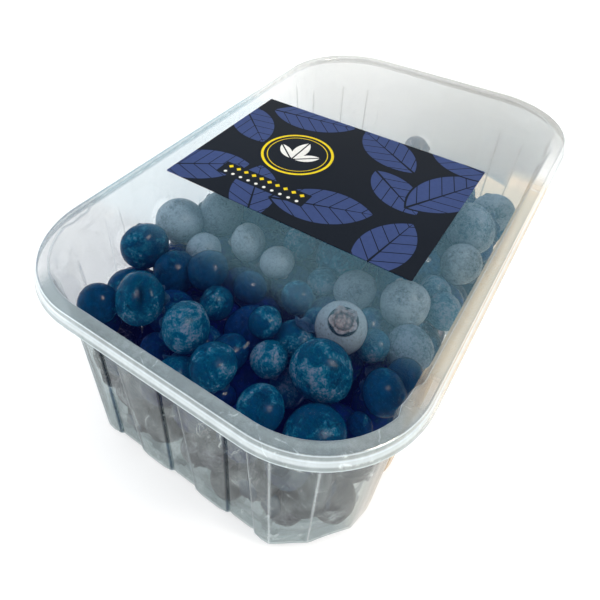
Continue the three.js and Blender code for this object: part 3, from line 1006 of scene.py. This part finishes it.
HOLE_STEP = 3.5 * MM  # between the places where a berry may fill a hole
HOLE_DEPTH = 3 * MM
HOLE_RADII = (7.6 * MM, 6.9 * MM, 6.2 * MM, 5.5 * MM, 4.8 * MM)
HOLE_SQUEEZE = 0.8  # how near a neighbour may be, in radii
HOLE_OUTSIDE = 0.1 * MM

TOP_DEPTH = 9 * MM  # berries less than this below the heap's level are made finely
UNDER_DEPTH = 17 * MM  # and those less than this show in the gaps between them
OUTER_REACH = 7 * MM  # a berry this near the wall shows through it
SHADE_DEPTH = 16 * MM  # below the heap's level, where the painted shade on the skins is darkest
FILL_BLOOM = (0.15, 0.6)
CORE_INSET = 17 * MM
CORE_HEIGHTS = (16 * MM, 22 * MM, 28 * MM)
CORE_DEPTH = 14 * MM
CONTACT_NEAR = 0.9 * MM  # a berry this close to the wall touches it
CONTACT_FAR = 3.2 * MM


def sight_line(x, y):
    """The direction in which the camera sees a pixel, with 1 along its axis."""
    across = (x - PRINCIPAL_POINT[0]) / FOCAL_PIXELS
    up = (PRINCIPAL_POINT[1] - y) / FOCAL_PIXELS
    return CAMERA_FORWARD + CAMERA_RIGHT * across + CAMERA_UP * up


def heap_level(y):
    """Height of the uppermost berries' centres."""
    return lerp(HEAP_LEVEL, HEAP_BACK_LEVEL, ease(ramp(y, *HEAP_SLOPE)))


def fill_level(places):
    """Highest places for the centres of berries out of view: at the far end they lie lower."""
    x, y, _ = places.T
    return heap_level(y) - FILL_DROP * ramp(y - FILL_SLANT * x, *FILL_SLOPE)


def flute_press(side, flutes, along, depth):
    """How far the flutes press the wall in beside a berry at a place along a side."""
    press = np.zeros_like(along)
    for flute in flutes:
        start = flute_start(side, flute)
        share = ramp(depth, start, TRAY_HEIGHT)
        half = lerp(FLUTE_TOP["half"], FLUTE_FOOT["half"], share)
        most = np.where(depth > start, lerp(FLUTE_TOP["depth"], FLUTE_FOOT["depth"], share), 0)
        near = np.clip((half + FLUTE_ROOM - np.abs(np.abs(along) - flute)) / FLUTE_ROOM, 0, 1)
        press = np.maximum(press, most * near)
    return press


def wall_push(centres, radii):
    """How each berry has to move to lie inside the tray's walls and on its base."""
    x, y, z = centres.T
    radii = radii * LUMP_REACH + WALL_GAP
    depth = TRAY_HEIGHT - z
    share = ramp(depth, COLLAR_DEPTH, TRAY_HEIGHT)
    room_x = TRAY_HALF_WIDTH - WALL_INSET - share * FACETS[0][1]
    room_x -= flute_press("long", LONG_FLUTES, y, depth)
    room_y = TRAY_HALF_LENGTH - WALL_INSET - share * FACETS[-1][1]
    room_y -= flute_press("short", SHORT_FLUTES, x, depth)
    push = np.zeros_like(centres)
    push[:, 0] = -np.sign(x) * np.maximum(0, np.abs(x) + radii - room_x)
    push[:, 1] = -np.sign(y) * np.maximum(0, np.abs(y) + radii - room_y)
    corner_x, corner_y = np.abs(x) - CORNER_X, np.abs(y) - CORNER_Y
    reach = np.hypot(corner_x, corner_y)
    room = CORNER_RADIUS - WALL_INSET - CORNER_INSET - share * CORNER_DRAFT * MM
    over = np.where((corner_x > 0) & (corner_y > 0), np.maximum(0, reach + radii - room), 0)
    push[:, 0] -= np.sign(x) * over * corner_x / np.maximum(reach, MM)
    push[:, 1] -= np.sign(y) * over * corner_y / np.maximum(reach, MM)
    lowest = SHEET + BASE_STEP["rise"] + radii
    push[:, 2] = np.maximum(0, lowest - z)
    return push


def start_berries(diameter, spread, random):
    """First guess of all berries: those in view on their sight lines, and a jittered lattice below."""
    eye = np.array(CAMERA_PLACE)
    seen = np.array(SEEN_BERRIES)
    lines = np.array([sight_line(x, y) for x, y in seen[:, :2]])
    across = seen[:, 2:4].mean(axis=1) / 2 / FOCAL_PIXELS
    drops = seen[:, 4] * MM
    far = np.full(len(lines), START_FAR)
    for _ in range(FAR_STEPS):
        y = eye[1] + lines[:, 1] * far
        far = (heap_level(y) - drops - eye[2]) / lines[:, 2]
    spacing = diameter * LATTICE["spacing"]
    layer_height, row_step = spacing * math.sqrt(2 / 3), spacing * math.sqrt(3) / 2
    fill = np.array([
        (
            (column + row % 2 / 2 + layer % 2 / 2) * spacing,
            (row + layer % 2 / 3) * row_step,
            LATTICE["base"] + layer * layer_height,
        )
        for layer in range(int(HEAP_LEVEL / layer_height) + 1)
        for row in range(-LATTICE["rows"], LATTICE["rows"] + 1)
        for column in range(-LATTICE["columns"], LATTICE["columns"] + 1)
    ])
    fill += random.normal(0, LATTICE["jitter"], fill.shape)
    radii = np.clip(random.normal(diameter, spread, len(fill)), *DIAMETER_RANGE) / 2
    kept = np.abs(wall_push(fill, radii)).max(axis=1) < START_ROOM["wall"]
    kept &= fill[:, 2] < heap_level(fill[:, 1]) + START_ROOM["top"]
    centres = eye + lines * far[:, None]
    gaps = np.linalg.norm(fill[:, None] - centres[None], axis=2)
    kept &= (gaps > START_ROOM["gap"] * (radii[:, None] + (across * far)[None])).all(axis=1)
    return lines, across, far, fill[kept], radii[kept]


@lru_cache
def settle_berries(diameter, spread, seed):
    """Places of all berries: (centres, radii, how many of them are in view)."""
    random = np.random.default_rng(seed)
    lines, across, far, fill, fill_radii = start_berries(diameter, spread, random)
    eye = np.array(CAMERA_PLACE)
    seen = len(lines)
    unit = lines / np.linalg.norm(lines, axis=1)[:, None]
    first_far = far.copy()
    tops = fill_level(fill) + random.normal(0, TOP_JITTER, len(fill))
    for _ in range(RELAX_STEPS):
        centres = np.vstack([eye + lines * far[:, None], fill])
        radii = np.concatenate([across * far, fill_radii])
        apart = centres[:, None] - centres[None]
        distance = np.linalg.norm(apart, axis=2) + 1e-9
        np.fill_diagonal(distance, 1.0)
        over = np.maximum(0, CLOSENESS * (radii[:, None] + radii[None]) - distance)
        push = (apart / distance[:, :, None] * over[:, :, None]) * PUSH_SHARE
        moves = push.sum(axis=1) + wall_push(centres, radii)
        along = (moves[:seen] * unit).sum(axis=1) / np.linalg.norm(lines, axis=1)
        far = far + SIGHT_SHARE * along + RETURN_SHARE * (first_far - far)
        fill = fill + moves[seen:]
        # A berry that isn't in view keeps behind those that are.
        from_eye = fill - eye
        depth = from_eye @ np.array(CAMERA_FORWARD)
        flat = from_eye / depth[:, None]
        beside = np.linalg.norm(flat[:, None] - lines[None], axis=2)
        hidden = fill_radii[:, None] / depth[:, None] + across[None] - beside
        nearer = (far[None] + 0.5 * across[None] * far[None]) - depth[:, None]
        blocked = np.where((hidden > 0.25 * across[None]) & (nearer > 0), nearer, 0).max(axis=1)
        fill = fill + flat / np.linalg.norm(flat, axis=1)[:, None] * (BLOCK_SHARE * blocked)[:, None]
        tops = np.minimum(tops, fill_level(fill) + START_ROOM["top"])
        fill[:, 2] -= np.maximum(0, fill[:, 2] - tops) * SINK_SHARE + SINK
    centres = np.vstack([eye + lines * far[:, None], fill])
    radii = np.concatenate([across * far, fill_radii])
    # What is still squeezed into its neighbours is a smaller berry, or is left out.
    kept = np.ones(len(centres), bool)
    for i in range(seen, len(centres)):
        distance = np.linalg.norm(centres - centres[i], axis=1)
        distance[i] = 1.0
        over = (radii + radii[i] - distance)[kept]
        past_any = over.max() - MOST_SQUEEZE["any"] * radii[i]
        past_seen = over[:seen].max() - MOST_SQUEEZE["seen"] * radii[i]
        radii[i] -= max(0, past_any, past_seen)
        outside = np.abs(wall_push(centres[i : i + 1], radii[i : i + 1])).max() > MOST_OUTSIDE
        kept[i] = radii[i] > LEAST_RADIUS and not outside
    centres, radii = fill_holes(centres[kept], radii[kept], seen, random)
    return centres, radii, seen


def fill_holes(centres, radii, seen, random):
    """Adds a berry wherever there is room for one below the heap's top, the largest first."""
    eye, forward = np.array(CAMERA_PLACE), np.array(CAMERA_FORWARD)
    axes = [np.arange(-span, span, HOLE_STEP) for span in (TRAY_HALF_WIDTH, TRAY_HALF_LENGTH)]
    axes.append(np.arange(0, HEAP_LEVEL, HOLE_STEP))
    places = np.stack(np.meshgrid(*axes, indexing="ij"), axis=-1).reshape(-1, 3)
    places = places + random.uniform(-0.5, 0.5, places.shape) * HOLE_STEP
    places = places[places[:, 2] < fill_level(places) - HOLE_DEPTH]
    # None hides a berry that is in view.
    from_eye, shown = places - eye, centres[:seen] - eye
    far, shown_far = from_eye @ forward, shown @ forward
    beside = from_eye[:, None] / far[:, None, None] - shown[None] / shown_far[None, :, None]
    hidden = LEAST_RADIUS / far[:, None] + (radii[:seen] / shown_far)[None]
    hidden -= np.linalg.norm(beside, axis=2)
    nearer = shown_far[None] > far[:, None]
    places = places[~((hidden > 0) & nearer).any(axis=1)]
    for radius in HOLE_RADII:
        outside = np.abs(wall_push(places, np.full(len(places), radius))).max(axis=1)
        for place in places[outside < HOLE_OUTSIDE]:
            gap = np.linalg.norm(centres - place, axis=1) - radii
            if gap.min() > HOLE_SQUEEZE * radius:
                centres = np.vstack([centres, place])
                radii = np.append(radii, radius)
    return centres, radii


def berry_profile(body_steps, fine):
    """Half the outline of a berry of radius 1, from the stem's scar up to the middle of the crown."""
    points = [(x, -POLAR_RADIUS + rise) for x, rise in (SCAR if fine else SCAR[:1])]
    turns = [lerp(SCAR_TURN, CROWN_TURN, i / body_steps) for i in range(body_steps)]
    turns += [math.acos(CROWN_RADIUS * reach) for reach in (*(CREASE_REACHES if fine else ()), 1.0)]
    points += [(math.cos(turn), POLAR_RADIUS * math.sin(turn)) for turn in turns]
    crown = CROWN if fine else PLAIN_CROWN
    return points + [(CROWN_RADIUS * reach, CROWN_RIM + rise) for reach, rise in crown]


def berry_template(name, around, body_steps, fine):
    """A mesh of one berry of radius 1 with its crown up, by spinning its outline."""
    bm = bmesh.new()
    verts = [bm.verts.new((x, 0.0, z)) for x, z in berry_profile(body_steps, fine)]
    edges = [bm.edges.new(pair) for pair in zip(verts, verts[1:])]
    bmesh.ops.spin(
        bm, geom=verts + edges, cent=(0, 0, 0), axis=(0, 0, 1), angle=math.tau, steps=around,
        use_merge=True,
    )
    bmesh.ops.remove_doubles(bm, verts=bm.verts, dist=1e-5)
    bmesh.ops.recalc_face_normals(bm, faces=bm.faces)
    for vert in bm.verts:
        reach = math.hypot(vert.co.x, vert.co.y)
        if vert.co.z > CROWN_RIM + 0.02 and reach < CROWN_RADIUS + 0.05:
            # The lobes stand up and lean out, with notches between them.
            lobe = 0.5 + 0.5 * math.cos(LOBES * math.atan2(vert.co.y, vert.co.x))
            rise = vert.co.z - CROWN_RIM
            vert.co.z = CROWN_RIM + rise * (0.35 + 0.85 * lobe**0.7)
            lean = 1 + 0.16 * lobe * rise / 0.12 - 0.05 * (1 - lobe)
            vert.co.x *= lean
            vert.co.y *= lean
    return new_mesh(name, bm)


def crown_and_painted_crease_shade(points):
    """For each vertex of a berry of radius 1, how much of it is dry crown or stem's scar, and how much
    painted shade it gets in the creases outside and inside the crown's lobes."""
    reach = np.hypot(points[:, 0], points[:, 1]) / CROWN_RADIUS
    above, upper = points[:, 2] - CROWN_RIM, points[:, 2] > 0
    lobes = (reach < 1.3) & (above > 0.03)
    crown = np.select([(reach < 0.9) & upper, lobes, (reach < 0.1) & (points[:, 2] < 0)], [1.0, 0.6, 0.5])
    outside = upper & (reach > 0.95) & (reach < 1.24) & (above < 0.06)
    within = upper & (abs(reach - 0.72) < 0.06)
    return crown, np.select([outside, within], [1.0, 0.75])


def crown_direction(random, centre, outline):
    """Which way a berry's crown points. A seen berry's short axis follows its outline, and its
    crown is turned from the camera, but for one."""
    if outline is None:
        return Vector(random.normal(0, 1, 3)).normalized()
    towards, right, up = camera_axes(centre)
    width, height = outline[2:4]
    if outline[:2] == CROWN_SHOWN:
        return (towards * 0.94 + right * CROWN_OFFSET[0] + up * CROWN_OFFSET[1]).normalized()
    wobble = Vector(random.normal(0, 0.12, 3))
    side = 1 if random.random() < 0.5 else -1
    if width < 0.95 * height:
        return (right * side - towards * 0.6 + wobble).normalized()
    if height < 0.95 * width:
        return (up * side - towards * 0.6 + wobble).normalized()
    lean = random.uniform(0, math.tau)
    return (right * math.cos(lean) + up * math.sin(lean) - towards + wobble).normalized()


def camera_axes(centre):
    """Towards the camera from a place, and its right and up there."""
    towards = (CAMERA_PLACE - Vector(centre)).normalized()
    right = (CAMERA_RIGHT - towards * CAMERA_RIGHT.dot(towards)).normalized()
    return towards, right, towards.cross(right)


def dent_share(point, centre):
    """How deep in the dented berry's dent a point of it lies, relative to its middle."""
    towards, *sides = camera_axes(centre)
    if point.dot(towards) < 0:
        return 0.0
    offsets = ((point.dot(side) - at) / half for side, at, half in zip(sides, DENT["place"], DENT["half"]))
    return math.exp(-sum(offset**2 for offset in offsets))


def berries_piece(name, template, chosen, material, settings):
    """Joins a copy of the template for each chosen berry into one piece."""
    random = np.random.default_rng(settings.seed + len(chosen))
    bm = bmesh.new()
    count = len(template.vertices)
    crown, creases = crown_and_painted_crease_shade(np.array([vert.co for vert in template.vertices]))
    tones, depths, waxes_and_painted_sheen, painted_crease_shades = [], [], [], []
    for centre, radius, outline in chosen:
        bm.from_mesh(template)
        bm.verts.ensure_lookup_table()
        verts = bm.verts[-count:]
        axis = crown_direction(random, centre, outline)
        spin = Matrix.Rotation(random.uniform(0, math.tau), 3, "Z")
        turned = axis.to_track_quat("Z", "Y").to_matrix() @ spin
        stretch = 1 + random.normal(0, 0.025, 3)
        stretch[2] *= 1 + random.normal(0, 0.03)
        seed = Vector(random.uniform(0, 50, 3))
        painted_crease_shade = creases * (1.0 if outline and outline[:2] == CROWN_SHOWN else 0.3)
        for i, vert in enumerate(verts):
            lump = 1 + 0.05 * noise.noise(vert.co * 1.1 + seed) + 0.012 * noise.noise(vert.co * 3.0 + seed)
            local = turned @ (Vector(part * size for part, size in zip(vert.co, stretch)) * lump)
            # The dent gets painted shade too.
            if outline and outline[:2] == DENTED:
                dent = dent_share(local, centre)
                local *= 1 - DENT["depth"] * dent
                painted_crease_shade[i] = max(painted_crease_shade[i], 0.9 * dent)
            vert.co = Vector(centre) + local * (radius * 1.03)
        # What would stand out through the wall is pressed flat against it.
        places = np.array([vert.co for vert in verts])
        places += wall_push(places, np.zeros(count))
        for vert, place in zip(verts, places):
            vert.co = place
        tones.append(random.uniform(0, 1))
        # Painted shade: the lower a berry lies, the darker its skin.
        depths.append(clamp((heap_level(centre[1]) - centre[2]) / SHADE_DEPTH))
        # The bloom value is real bloom, and under the film's reflection also a painted sheen.
        waxes_and_painted_sheen.append(outline[-1] / MOST_BLOOM if outline else random.uniform(*FILL_BLOOM))
        painted_crease_shades.append(painted_crease_shade)
    piece = add_piece(name, bm, material, "berries", sharp_angle=75)
    set_values(piece.data, {
        "tone": np.repeat(tones, count),
        "wax_and_painted_sheen": np.repeat(waxes_and_painted_sheen, count),
        "depth": np.repeat(depths, count),
        "crown": np.tile(crown, len(chosen)),
        "painted_crease_shade": np.concatenate(painted_crease_shades),
    })


# ---- Operators ------------------------------------------------------------------------------------


class PUNNET_OT_stage(Operator):
    """Make the floor, the studio's lights and the camera"""

    bl_idname = "punnet.stage"
    bl_label = "Stage"

    def execute(self, context):
        settings = context.scene.punnet.stage
        bm = bmesh.new()
        bmesh.ops.create_grid(bm, x_segments=8, y_segments=8, size=settings.floor_size / 2)
        add_object("floor", bm, floor_material(settings))
        self.make_world(context.scene, settings)
        for name, values in LIGHTS.items():
            self.add_light(name, *values)
        self.make_camera(context.scene)
        context.scene.view_settings.view_transform = "Standard"
        context.scene.cycles.transparent_max_bounces = 40
        return {"FINISHED"}

    def make_world(self, scene, settings):
        world = bpy.data.worlds.new("studio")
        scene.world = world
        tree = Tree(world)
        up = tree.axes(tree.node("ShaderNodeTexCoord", output="Generated"))[2]
        share = up.between(*(math.sin(math.radians(angle)) for angle in HORIZON_RISE))
        around = tree.mix(share, settings.horizon, settings.zenith)
        light, pale = (tree.layers("ShaderNodeBackground", tint) for tint in (around, BACKDROP))
        seen = tree.node("ShaderNodeLightPath", output="Is Camera Ray")
        tree.surface(tree.blend(seen, light, pale), "ShaderNodeOutputWorld")

    def add_light(self, name, place, facing, size, radiance, tint, glossy, diffuse):
        """A rectangular lamp of some radiance that the camera doesn't see."""
        lamp = bpy.data.lights.new(name, "AREA")
        lamp.shape = "RECTANGLE"
        lamp.size, lamp.size_y = size
        lamp.color = tint
        lamp.energy = radiance * math.pi * size[0] * size[1]
        made = bpy.data.objects.new(name, lamp)
        made.location = place
        made.rotation_mode = "QUATERNION"
        made.rotation_quaternion = Vector(facing).to_track_quat("-Z", "Y")
        made.visible_camera = False
        made.visible_glossy = glossy
        made.visible_diffuse = diffuse
        bpy.context.scene.collection.objects.link(made)

    def make_camera(self, scene):
        data = bpy.data.cameras.new("camera")
        data.sensor_width = SENSOR
        data.lens = SENSOR * FOCAL_PIXELS / PICTURE
        data.shift_x = (PICTURE / 2 - PRINCIPAL_POINT[0]) / PICTURE
        data.shift_y = (PRINCIPAL_POINT[1] - PICTURE / 2) / PICTURE
        data.clip_start = 0.01
        camera = bpy.data.objects.new("camera", data)
        axes = Matrix((CAMERA_RIGHT, CAMERA_UP, -CAMERA_FORWARD)).transposed()
        camera.matrix_world = Matrix.Translation(CAMERA_PLACE) @ axes.to_4x4()
        scene.collection.objects.link(camera)
        scene.camera = camera


class PUNNET_OT_tray(Operator):
    """Make the clear fluted tray"""

    bl_idname = "punnet.tray"
    bl_label = "Tray"

    def contact_shares(self, rings, berries):
        """How closely a berry lies against each point."""
        centres, radii, _ = settle_berries(berries.diameter, berries.spread, berries.seed)
        shares = []
        for points in rings:
            gaps = np.linalg.norm(np.array(points)[:, None] - centres[None], axis=2) - radii
            shares.append(ease(ramp(gaps.min(axis=1), CONTACT_FAR, CONTACT_NEAR)))
        return np.concatenate(shares)

    def execute(self, context):
        settings = context.scene.punnet.tray
        rings, ring_lines = tray_rings()
        contact = self.contact_shares(rings, context.scene.punnet.berries)
        fluted = np.concatenate([flute_lines(TRAY_HEIGHT - points[0].z) for points in rings])
        lines = np.repeat(ring_lines, len(rings[0]))
        lines = np.where(abs(fluted) > abs(lines), fluted, lines)
        bm, loops = skin_through(rings)
        bm.verts.index_update()
        order = np.argsort([vert.index for loop in loops for vert in loop])
        base = cap(bm, loops[-1])[0]
        base.normal_update()
        bmesh.ops.recalc_face_normals(bm, faces=bm.faces)
        base.normal_update()
        if base.normal.z < 0:
            bmesh.ops.reverse_faces(bm, faces=bm.faces)
        piece = add_piece("tray_shell", bm, tray_material(settings), "tray")
        set_values(piece.data, {"contact": contact[order], "line": lines[order]})
        solid = piece.modifiers.new("sheet", "SOLIDIFY")
        solid.thickness = settings.sheet
        solid.offset = -1
        solid.use_even_offset = True
        solid.thickness_clamp = 1.0
        bake_modifiers(piece)
        return {"FINISHED"}


class PUNNET_OT_film(Operator):
    """Make the film sealed to the flange"""

    bl_idname = "punnet.film"
    bl_label = "Film"

    def execute(self, context):
        settings = context.scene.punnet.film
        heights = (FILM_GAP, FILM_GAP + settings.thickness)
        bm = closed_skin([ring(settings.trim, -height) for height in heights])
        add_piece("sealing_film", bm, film_material(settings), "film", sharp_angle=30)
        return {"FINISHED"}


class PUNNET_OT_label(Operator):
    """Make the printed label on the film"""

    bl_idname = "punnet.label"
    bl_label = "Label"

    def execute(self, context):
        settings = context.scene.punnet.label
        thickness = settings.thickness
        middle = Vector((*LABEL_MIDDLE.xy, TRAY_HEIGHT + LABEL_GAP + thickness / 2))
        bm = bmesh.new()
        bmesh.ops.create_cube(bm, size=1.0)
        bmesh.ops.scale(bm, vec=(*LABEL_SIZE.xy, thickness), verts=bm.verts)
        bmesh.ops.translate(bm, vec=middle, verts=bm.verts)
        upright = [
            edge for edge in bm.edges
            if abs(edge.verts[0].co.z - edge.verts[1].co.z) > thickness / 2
        ]
        bmesh.ops.bevel(
            bm, geom=upright, offset=LABEL_ROUNDING, offset_type="OFFSET", affect="EDGES", segments=5,
            profile=0.5, material=-1,
        )
        add_piece("printed_label", bm, label_material(settings), "label", sharp_angle=30)
        return {"FINISHED"}


class PUNNET_OT_berries(Operator):
    """Make the heap: the berries on top, those under and along the walls, and the dark core of painted shade
    """

    bl_idname = "punnet.berries"
    bl_label = "Berries"

    def execute(self, context):
        settings = context.scene.punnet.berries
        centres, radii, seen = settle_berries(settings.diameter, settings.spread, settings.seed)
        top, under, side = [], [], []
        for i, (centre, radius) in enumerate(zip(centres, radii)):
            below = heap_level(centre[1]) - centre[2]
            grown = np.array([radius + OUTER_REACH])
            if i < seen:
                top.append((centre, radius, SEEN_BERRIES[i]))
            elif below < TOP_DEPTH:
                top.append((centre, radius, None))
            elif below < UNDER_DEPTH:
                under.append((centre, radius, None))
            elif np.abs(wall_push(np.array([centre]), grown)).max() > 0:
                side.append((centre, radius, None))
        fine = berry_template("fine_berry", around=30, body_steps=12, fine=True)
        plain = berry_template("plain_berry", around=20, body_steps=8, fine=False)
        material = berry_material("berry_skin", settings, settings.painted_depth_skin, settings.painted_depth_bloom)
        berries_piece("top_berries", fine, top, material, settings)
        berries_piece("under_berries", plain, under, material, settings)
        # A painted copy of the skin for berries along the walls: darker bare skin and paler mauve bloom for
        # how light reaches them there.
        material = berry_material("wall_berry_painted_skin", settings, settings.painted_wall_skin, settings.painted_wall_bloom)
        berries_piece("side_berries", plain, side, material, settings)
        self.make_core(settings)
        bpy.data.meshes.remove(fine)
        bpy.data.meshes.remove(plain)
        return {"FINISHED"}

    def make_core(self, settings):
        """The dark inside of the heap, well within the outer berries: a solid of painted shade."""
        rings = [ring(WALL_INSET + CORE_INSET, TRAY_HEIGHT - height, True) for height in CORE_HEIGHTS]
        for point in rings[-1]:
            point.z = min(point.z, float(heap_level(point.y)) - CORE_DEPTH)
        add_piece("painted_shade_core", closed_skin(rings), painted_shade_core_material(settings), "berries")


class PUNNET_PT_sidebar(Panel):
    """The punnet's pieces and their settings"""

    bl_idname = "PUNNET_PT_sidebar"
    bl_label = "Punnet of Blueberries"
    bl_space_type = "VIEW_3D"
    bl_region_type = "UI"
    bl_category = "Punnet"

    def draw(self, context):
        for operator, group in STEPS:
            box = self.layout.box()
            box.operator(operator.bl_idname)
            chosen = getattr(context.scene.punnet, group)
            for key in chosen.__annotations__:
                box.prop(chosen, key)


class PunnetSettings(PropertyGroup):
    stage: PointerProperty(type=StageSettings)
    tray: PointerProperty(type=TraySettings)
    film: PointerProperty(type=FilmSettings)
    label: PointerProperty(type=LabelSettings)
    berries: PointerProperty(type=BerrySettings)


STEPS = (
    (PUNNET_OT_stage, "stage"),
    (PUNNET_OT_tray, "tray"),
    (PUNNET_OT_film, "film"),
    (PUNNET_OT_label, "label"),
    (PUNNET_OT_berries, "berries"),
)
CLASSES = (
    StageSettings, TraySettings, FilmSettings, LabelSettings, BerrySettings, PunnetSettings,
    *(operator for operator, _ in STEPS), PUNNET_PT_sidebar,
)


def register():
    for item in CLASSES:
        bpy.utils.register_class(item)
    bpy.types.Scene.punnet = PointerProperty(type=PunnetSettings)


def unregister():
    del bpy.types.Scene.punnet
    for item in reversed(CLASSES):
        bpy.utils.unregister_class(item)


def main():
    register()
    bpy.ops.punnet.stage()
    bpy.ops.punnet.tray()
    bpy.ops.punnet.film()
    bpy.ops.punnet.label()
    bpy.ops.punnet.berries()


if __name__ == "__main__":
    main()
